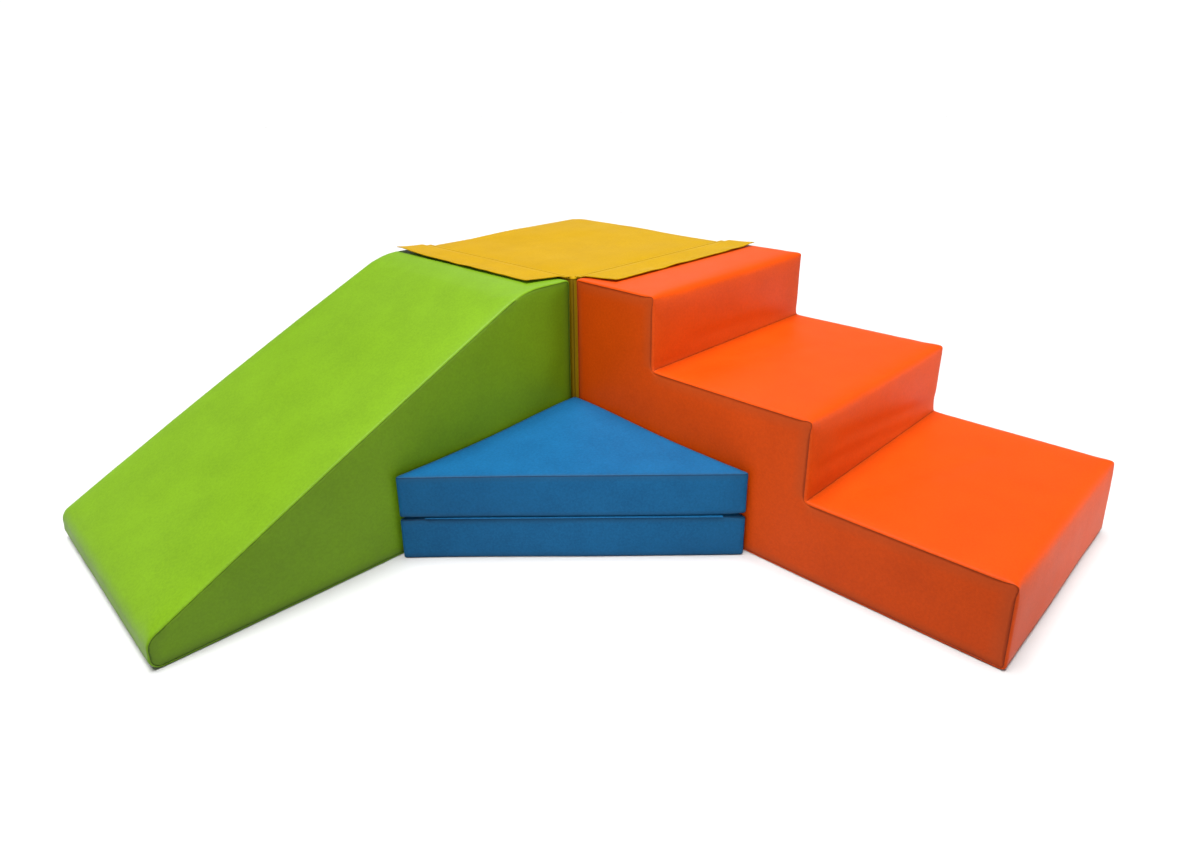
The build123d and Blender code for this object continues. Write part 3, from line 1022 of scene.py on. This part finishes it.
seamAroundSides(stairCover, 0, coverValues["seamInset"], coverValues["edgeRounding"])
stairSlot = slotAt("stair_zip_tape", zipValues["slotLength"], 2, -1)
cutSlot(stairCover, stairSlot)
backDrop = mm(stairValues["backRounding"]) * (1 - sqrt(0.5))
innerDrop = inner * (1 - sqrt(0.5))


def onStairSeam(edge):
    middle = edgeMiddle(edge)
    if not runsAlong(edge, 0):
        return False
    places = [(boxHigh[1] - backDrop, boxHigh[2] - backDrop)]
    places += [(r - innerDrop, t + innerDrop) for r, t in zip(risers[1:], treadTops)]
    if any(near(middle.y, y, 0.6) and near(middle.z, z, 0.6) for y, z in places):
        return True
    ends = mm(stairValues["baseSeam"])
    return near(middle.z, baseLevel) and not boxLow[1] + ends < middle.y < boxHigh[1] - ends


markSeams(stairCover, onStairSeam)
closeEdit()
# the side seams pull each fold sharp, and between them it stays round
for vertex in stairCover.data.vertices:
    fromSide = min(vertex.co.x - boxLow[0], boxHigh[0] - vertex.co.x)
    pull = exp(-max(0, fromSide) / mm(stairValues["sharpReach"])) * stairValues["sharpness"]
    for riser, top in zip(risers, treadTops):
        outward = (riser + nose - vertex.co.y) / nose
        upward = (vertex.co.z - top + nose) / nose
        if 0 < outward <= 1.001 and 0 < upward <= 1.001 and outward + upward > 1:
            grow = 1 + pull * (1 / max(outward, upward) - 1)
            vertex.co.y = riser + nose - nose * outward * grow
            vertex.co.z = top - nose + nose * upward * grow
bowOut(stairCover, boxLow, boxHigh, 0, 1, stairValues["bow"])
fillCover(stairCover, stairValues["cap"], boxLow[2])
panels = {
    "middleRiser": (1, middleRiser), "upperRiser": (1, upperRiser),
    "lowerTread": (2, treadTops[0]), "middleTread": (2, treadTops[1]),
}
for fold in stairValues["creases"]:
    axis, level = panels[fold["on"]]
    crease(stairCover, axis, level, fold)
stairSpare = (0.6, 3, 9, 0.6, 0, topFull + 0.2)
closeCover(stairCover, stairValues, 3, (stairLow, stairHigh), stairSpare, stairSlot)
dress(stairCover, orangeFabric)
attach(stairCover, "stair")
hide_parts(*stairNodes)


# The folding mat

matValues = {
    "leg": 514,
    "cells": 40,
    "frontBow": 9,
    "tipPush": 6,
    "rampTipReach": 8,
    "tipRounding": 17,
    "backRounding": 8,
    "start": 1.6,
    "ringInset": 0.5,  # the seam rings at the fold stand this far from the cushion's face
    "topStart": 1,
    "cap": 2.4,
    "seamWiden": 1.5,
    "seamShade": 0.45,
    "gridPitch": 13,
    "slotClear": 4,
    "tipReach": 70,
    "backLift": 20,
    "backReach": 230,
    "bottomTuck": 1,
}


def makeCushion(name, prefix, seed, tipDrop, isUpper):
    nodes = softNodes(prefix)
    low, high = boxOf(*nodes)
    start = mm(matValues["start"])
    ring = mm(matValues["ringInset"])
    squareCorner = high[0] - start
    leg = mm(matValues["leg"]) - start * (2 + sqrt(2))
    tip = squareCorner - leg
    bottom = low[2] + (ring if isUpper else 0)
    top = high[2] - (mm(matValues["topStart"]) if isUpper else ring)
    piece = addBlank(name, (tip, tip, bottom), (squareCorner, squareCorner, top))
    openEdit(piece)
    pickAll()
    middle = squareCorner - leg / 2
    bpy.ops.mesh.bisect(
        plane_co=(middle, middle, 0), plane_no=(1, 1, 0), use_fill=True, clear_inner=True
    )
    roundEdges(
        piece,
        lambda edge: runsAlong(edge, 2)
        and abs(edgeMiddle(edge).x - edgeMiddle(edge).y) > leg / 2,
        matValues["tipRounding"], 4,
    )
    roundEdges(
        piece,
        lambda edge: runsAlong(edge, 2) and near(edgeMiddle(edge).x, squareCorner)
        and near(edgeMiddle(edge).y, squareCorner),
        matValues["backRounding"], 3,
    )
    cell = leg / matValues["cells"]
    places = [squareCorner - cell * step for step in range(1, matValues["cells"])]
    cutAcross(0, places)
    cutAcross(1, places)
    slot = slotAt(prefix + "_zip_tape", zipValues["matSlotLength"], 0, 1)
    sideLevels = spread(bottom, top, matValues["gridPitch"])
    slotLow, slotHigh, clear = slot[0][2], slot[1][2], mm(matValues["slotClear"])
    sideLevels = [z for z in sideLevels if not slotLow - clear < z < slotHigh + clear]
    cutAcross(2, sideLevels + [slotLow, slotHigh])
    cutSlot(piece, slot)
    markSeams(
        piece,
        lambda edge: (near(edgeMiddle(edge).z, bottom) or near(edgeMiddle(edge).z, top))
        and not all(abs(face.normal.z) > 0.9 for face in edge.link_faces),
    )
    closeEdit()
    halfFront = depth = leg / sqrt(2)
    for vertex in piece.data.vertices:
        across = (vertex.co.x - vertex.co.y) / sqrt(2) / halfFront
        forward = (2 * squareCorner - vertex.co.x - vertex.co.y) / sqrt(2) / depth
        level = (vertex.co.z - bottom) / (top - bottom)
        # the long front bows out, and tucks in where it stands on the floor
        bow = matValues["frontBow"] * max(0, 1 - across * across)
        push = mm(bow + matValues["tipPush"] * across * across) * forward ** 2
        if not isUpper:
            push -= mm(matValues["bottomTuck"]) * max(0, 1 - 4 * level) * forward ** 8
        vertex.co.x -= push / sqrt(2) + mm(matValues["rampTipReach"]) * max(0, -across) ** 3
        vertex.co.y -= push / sqrt(2)
        # the fold opens at both tips, more on one side than on the other
        fromTip = mm(matValues["tipReach"]) - (1 - abs(across)) * halfFront
        if fromTip > 0:
            gap = mm(tipDrop[1 if across > 0 else 0]) * (fromTip / mm(matValues["tipReach"])) ** 2
            vertex.co.z += gap * (1 - level if isUpper else -level)
        if isUpper:
            # the square corner rides up a little between the two wings, above the zip's slot
            fromBack = Vector((squareCorner - vertex.co.x, squareCorner - vertex.co.y)).length
            lift = exp(-(fromBack / mm(matValues["backReach"])) ** 2)
            vertex.co.z += mm(matValues["backLift"]) * lift * max(0, 2.5 * level - 1.5)
    fillCover(piece, matValues["cap"], bottom)
    spare = (14, -0.2, 5, -0.2, -0.3, 26) if isUpper else (14, -0.2, 5, -0.2, 0, -0.3)
    closeCover(piece, matValues, seed, (low, high), spare, slot)
    dress(piece, blueFabric)
    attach(piece, prefix)
    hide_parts(*nodes)
    return piece


print("folding mat")
matLowerCushion = makeCushion("matLowerCushion", "mat_lower", 4, (3, 6), False)
matUpperCushion = makeCushion("matUpperCushion", "mat_upper", 5, (2, 5), True)

# The hinge that joins the two cushions: one strip folded along the mat's front, sewn in the fold
hingeValues = {
    "length": 606.9,
    "leaf": 44.4,
    "foldRadius": 0.6,
    "foldShare": 0.3,  # of its rows lie in the fold
    "bendZone": 0.2,  # it passes from one cushion to the other this far around the fold
    "thickness": 0.6,
    "along": 60,
    "across": 30,
}

print("mat hinge")
leafLow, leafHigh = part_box("mat_lower_hinge_leaf")
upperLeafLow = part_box("mat_upper_hinge_leaf")[0]
foldLevel = (leafHigh[2] + upperLeafLow[2]) / 2
leafInward = mm(hingeValues["leaf"]) / sqrt(2)
# the leaf's middle line runs between the two tips of its box
foldMiddle = (leafLow[0] + leafHigh[0] - leafInward) / 2
inward = Vector((1, 1, 0)).normalized()
alongFold = Vector((1, -1, 0)).normalized()
matHinge = addGrid("matHinge", hingeValues["along"], hingeValues["across"])
bend = mm(hingeValues["foldRadius"])
inFold = hingeValues["foldShare"]
bendZone = mm(hingeValues["bendZone"])
for vertex in matHinge.data.vertices:
    along = vertex.co.x * mm(hingeValues["length"])
    row = vertex.co.y * 2  # from -1 at the lower leaf's inner edge to 1 at the upper one's
    if abs(row) > inFold:
        depthIn = (abs(row) - inFold) / (1 - inFold) * mm(hingeValues["leaf"])
        rise = bend if row > 0 else -bend
    else:
        angle = row / inFold * radians(90)
        depthIn = -bend * cos(angle)
        rise = bend * sin(angle)
    vertex.co = (
        Vector((foldMiddle, foldMiddle, foldLevel + rise)) + inward * depthIn + alongFold * along
    )
addModifier(matHinge, "SOLIDIFY", thickness=mm(hingeValues["thickness"]), offset=0)
alignFaces(matHinge)
bpy.ops.object.shade_smooth_by_angle(angle=radians(50))
dress(matHinge, blueFabric)
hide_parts("mat_lower_hinge_leaf", "mat_upper_hinge_leaf")
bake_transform(matHinge)
mm(hingeValues["length"])


# Flaps: a strip of coated fabric sewn to the block's top that lies over a wing's top

flapValues = {
    "foldInset": 10,
    "seat": 0.3,  # how far above the block's nominal top the sheet lies
    "reach": 110,
    "thickness": 1.8,
    "across": 22,
    "alongEdge": 96,
    "rim": 0.35,
    "stitchFromRoot": 7,
    "stitchWidth": 1.4,
    "stitchDepth": 0.9,
    "stitchLip": 0.25,
    "rise": 2.6,  # over the wing's nominal top
    "riseFrom": 12,
    "riseTo": 30,
    "freeFrom": 70,
    "freeTo": 110,
    "edgeWave": 2,
    "waveLength": 58,
    "edgeLift": 1.2,
    "hingeLevel": 0.5027,  # metres, the lift joint's own height
}
rampFlapValues = {
    "rootEnds": (16, 594), "tipEnds": (49, 594),
    "farLift": 6, "farReach": 170, "nearLift": 5, "nearReach": 60, "seed": 3,
}
stairFlapValues = {
    "rootEnds": (16, 594), "tipEnds": (38, 594),
    "farLift": 4, "farReach": 80, "nearLift": 6, "nearReach": 60, "seed": 8,
}


def easeIn(share):
    share = min(max(share, 0), 1)
    return share * share * (3 - 2 * share)


def easeBetween(place, start, end):
    return easeIn((place - mm(start)) / mm(end - start))


def placeAt(frameOf, along, out, level):
    origin, alongAxis, outAxis, top = frameOf
    return origin + alongAxis * along + outAxis * out + Vector((0, 0, level))


def flapHeight(values, out, along):
    # how far the sheet stands above its root, at a distance out from the fold
    rise = mm(flapValues["rise"] + topFull) * easeBetween(
        out, flapValues["riseFrom"], flapValues["riseTo"]
    )
    free = easeBetween(out, flapValues["freeFrom"], flapValues["freeTo"])
    wave = noise.noise(Vector((along / mm(flapValues["waveLength"]), values["seed"], 0)))
    height = rise + free * mm(flapValues["edgeLift"] + flapValues["edgeWave"] * wave)
    farShare = easeIn(1 - (mm(values["rootEnds"][1]) - along) / mm(values["farReach"]))
    nearShare = easeIn(1 - along / mm(values["nearReach"]))
    outShare = (out / mm(flapValues["reach"])) ** 2
    height += outShare * mm(values["farLift"]) * farShare ** 1.5
    height += outShare * mm(values["nearLift"]) * nearShare
    return height


def flapPlace(values, frameOf, share, out):
    # share runs along the fold from the square corner, out runs away from the block
    fromFold = out / mm(flapValues["reach"])
    ends = [
        mm(root + (tip - root) * fromFold)
        for root, tip in zip(values["rootEnds"], values["tipEnds"])
    ]
    along = ends[0] + (ends[1] - ends[0]) * share
    return placeAt(frameOf, along, out, frameOf[3] + flapHeight(values, out, along))


def settle(piece):
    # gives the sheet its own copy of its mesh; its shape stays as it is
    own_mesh(piece)


def makeFlap(name, values, frameOf, body, node):
    piece = addGrid(name, flapValues["alongEdge"], flapValues["across"])
    for vertex in piece.data.vertices:
        out = (vertex.co.y + 0.5) * mm(flapValues["reach"])
        vertex.co = flapPlace(values, frameOf, vertex.co.x + 0.5, out)
    faceUp(piece)
    # the stitched line near the root sinks in between two lips
    origin, alongAxis, outAxis, top = frameOf
    stitch = mm(flapValues["stitchFromRoot"])
    lip = mm(flapValues["stitchWidth"])
    openEdit(piece)
    for line in (stitch - lip, stitch, stitch + lip):
        pickAll()
        bpy.ops.mesh.bisect(plane_co=origin + outAxis * line, plane_no=outAxis)
    closeEdit()
    # the sunken stitch line takes the fabric's painted seam shade
    shade = piece.data.attributes.new("seamShade", "FLOAT", "POINT")
    for vertex in piece.data.vertices:
        fromRoot = abs((vertex.co - origin).dot(outAxis) - stitch)
        if fromRoot < mm(0.3):
            vertex.co.z -= mm(flapValues["stitchDepth"])
            shade.data[vertex.index].value = 1
        elif fromRoot < lip + mm(0.4):
            vertex.co.z += mm(flapValues["stitchLip"])
    piece.data.materials.append(yellowFabric)
    piece.data.materials.append(knitBacking)
    addModifier(
        piece, "SOLIDIFY", thickness=mm(flapValues["thickness"]), offset=-1, material_offset=1,
        use_even_offset=True,
    )
    addModifier(
        piece, "BEVEL", width=mm(flapValues["rim"]), segments=2, limit_method="ANGLE",
        angle_limit=radians(50),
    )
    bpy.ops.object.shade_smooth_by_angle(angle=radians(40))
    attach(piece, body)
    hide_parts(node)
    reach = mm(flapValues["reach"])
    return piece


print("flaps")
foldInset = mm(flapValues["foldInset"])
flapTop = blockHigh[2] + mm(flapValues["seat"] + flapValues["thickness"])
acrossX, acrossY = Vector((1, 0, 0)), Vector((0, 1, 0))
# each frame: origin, the way along the fold, the way out from the block, and the sheet's top
rampFlapFrame = (Vector((blockLow[0] + foldInset, blockLow[1], 0)), acrossY, -acrossX, flapTop)
stairFlapFrame = (Vector((blockLow[0], blockLow[1] + foldInset, 0)), acrossX, -acrossY, flapTop)
rampFlap = makeFlap("rampFlap", rampFlapValues, rampFlapFrame, "ramp_flap", "ramp_flap_sheet")
stairFlap = makeFlap(
    "stairFlap", stairFlapValues, stairFlapFrame, "stair_flap", "stair_flap_sheet"
)
settle(rampFlap)


# The hook strip is sewn under each flap, and the loop strip on the top of the wing below it
stripValues = {
    "width": 25,
    "length": 460,
    "fromFold": 64,
    "fromCorner": 300,
    "thickness": 1.1,
    "hookGap": 0.1,
    "loopSunk": 0.1,
    "rim": 0.25,
    "along": 92,
    "across": 6,
}


def makeStrip(name, place, material, body, node, under):
    piece = addGrid(name, stripValues["along"], stripValues["across"])
    for vertex in piece.data.vertices:
        along = mm(stripValues["fromCorner"] + vertex.co.x * stripValues["length"])
        out = mm(stripValues["fromFold"] + vertex.co.y * stripValues["width"])
        vertex.co = place(along, out)
    faceUp(piece)
    addModifier(piece, "SOLIDIFY", thickness=mm(stripValues["thickness"]), offset=-1)
    addModifier(
        piece, "BEVEL", width=mm(stripValues["rim"]), segments=2, limit_method="ANGLE"
    )
    bpy.ops.object.shade_smooth_by_angle(angle=radians(40))
    dress(piece, material)
    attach(piece, body)
    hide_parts(node)
    mm(stripValues["width"])
    mm(stripValues["length"])
    return piece


def alongFlap(values, frameOf):
    # a place just under the flap, at a distance along and out from its fold
    def place(along, out):
        height = frameOf[3] + flapHeight(values, out, along)
        drop = mm(flapValues["thickness"] + stripValues["hookGap"])
        return placeAt(frameOf, along, out, height - drop)
    return place


print("hook and loop strips")
loopLevel = blockHigh[2] + mm(topFull + stripValues["thickness"] - stripValues["loopSunk"])
for wing, flapShape, flapFrame, cover, flapName in (
    ("ramp", rampFlapValues, rampFlapFrame, "rampCover", "rampFlap"),
    ("stair", stairFlapValues, stairFlapFrame, "stairCover", "stairFlap"),
):
    makeStrip(
        wing + "LoopStrip", lambda along, out: placeAt(flapFrame, along, out, loopLevel),
        loopFinish, wing, wing + "_loop_strip", cover,
    )
    hookStrip = makeStrip(
        wing + "HookStrip", alongFlap(flapShape, flapFrame), hookFinish,
        wing + "_flap", wing + "_flap_hook_strip", flapName,
    )
    if wing == "ramp":
        settle(hookStrip)


# Floor, light and background

stageValues = {
    "floorSize": 40000,
    "floorHex": "bfbfbf",
    "skyStrength": 0.14,
    "horizonStrength": 1.05,
    "horizonTop": 8,
    "keyStrength": 6.2,
    "keySoftness": 34,
    "keyTilt": (-5, 0),
    "backPower": 18,
    "backSize": (2600, 1800),
    "backPlace": (2400, 2400, 2500),
    "spots": {
        "cornerLight": {
            "power": 105, "cone": 34, "size": 400,
            "place": (-1350, -850, 1150), "aim": (240, 0, 240),
        },
        "stairLight": {
            "power": 168, "cone": 31, "size": 500,
            "place": (1100, -2300, 620), "aim": (680, -350, 220),
        },
    },
}

print("stage")
clearPicks()
bpy.ops.mesh.primitive_plane_add(size=mm(stageValues["floorSize"]))
floor = bpy.context.active_object
floor.name = "studioFloor"
floorMaterial, tree = newMaterial("paleFloor")
surface = addNode(
    tree, "BsdfPrincipled",
    {"Base Color": linear(stageValues["floorHex"]), "Roughness": 0.9, "Specular IOR Level": 0.1},
)
addNode(tree, "OutputMaterial", None, {"Surface": surface.outputs["BSDF"]})
floor.data.materials.append(floorMaterial)
floor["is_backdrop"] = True

# a dim soft sky above a white horizon
world = bpy.data.worlds.new("studio")
world.use_nodes = True
tree = world.node_tree
tree.nodes.clear()
direction = addNode(tree, "TexCoord").outputs["Generated"]
height = addNode(tree, "SeparateXYZ", None, {"Vector": direction})
band = stageValues["horizonTop"] / 90 * 1.57
strength = addNode(
    tree, "MapRange",
    {"From Min": band, "From Max": band + 0.06, "To Min": stageValues["horizonStrength"],
     "To Max": stageValues["skyStrength"]},
    {"Value": height.outputs["Z"]},
)
sky = addNode(
    tree, "Background", {"Color": linear("ffffff")},
    {"Strength": strength.outputs["Result"]},
)
addNode(tree, "OutputWorld", None, {"Surface": sky.outputs["Background"]})
bpy.context.scene.world = world


def addLight(kind, name, place, power):
    bpy.ops.object.light_add(type=kind, location=[mm(v) for v in place])
    light = bpy.context.active_object
    light.name = name
    light.data.energy = power
    return light


keyLight = addLight("SUN", "keyLight", (0, 0, 3000), stageValues["keyStrength"])
keyLight.data.angle = radians(stageValues["keySoftness"])
keyLight.rotation_euler = (
    radians(stageValues["keyTilt"][1]), radians(stageValues["keyTilt"][0]), 0
)

backLight = addLight("AREA", "backLight", stageValues["backPlace"], stageValues["backPower"])
backLight.data.shape = "RECTANGLE"
backLight.data.size, backLight.data.size_y = [mm(v) for v in stageValues["backSize"]]
backLight.rotation_euler = Vector(backLight.location).to_track_quat("Z", "Y").to_euler()

# soft spots: one from beside the camera into the mat's corner, one on the stair's risers
for spotName, spot in stageValues["spots"].items():
    spotLight = addLight("SPOT", spotName, spot["place"], spot["power"])
    spotLight.data.spot_size = radians(spot["cone"])
    spotLight.data.spot_blend = 1
    spotLight.data.shadow_soft_size = mm(spot["size"])
    aim = Vector([mm(v) for v in spot["aim"]]) - Vector(spotLight.location)
    spotLight.rotation_euler = aim.to_track_quat("-Z", "Y").to_euler()
bpy.context.scene.view_settings.view_transform = "Standard"

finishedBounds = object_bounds()
measured = {"cad": cadBounds, "visual": finishedBounds}
{name: [list(c) for c in corners] for name, corners in measured.items()}
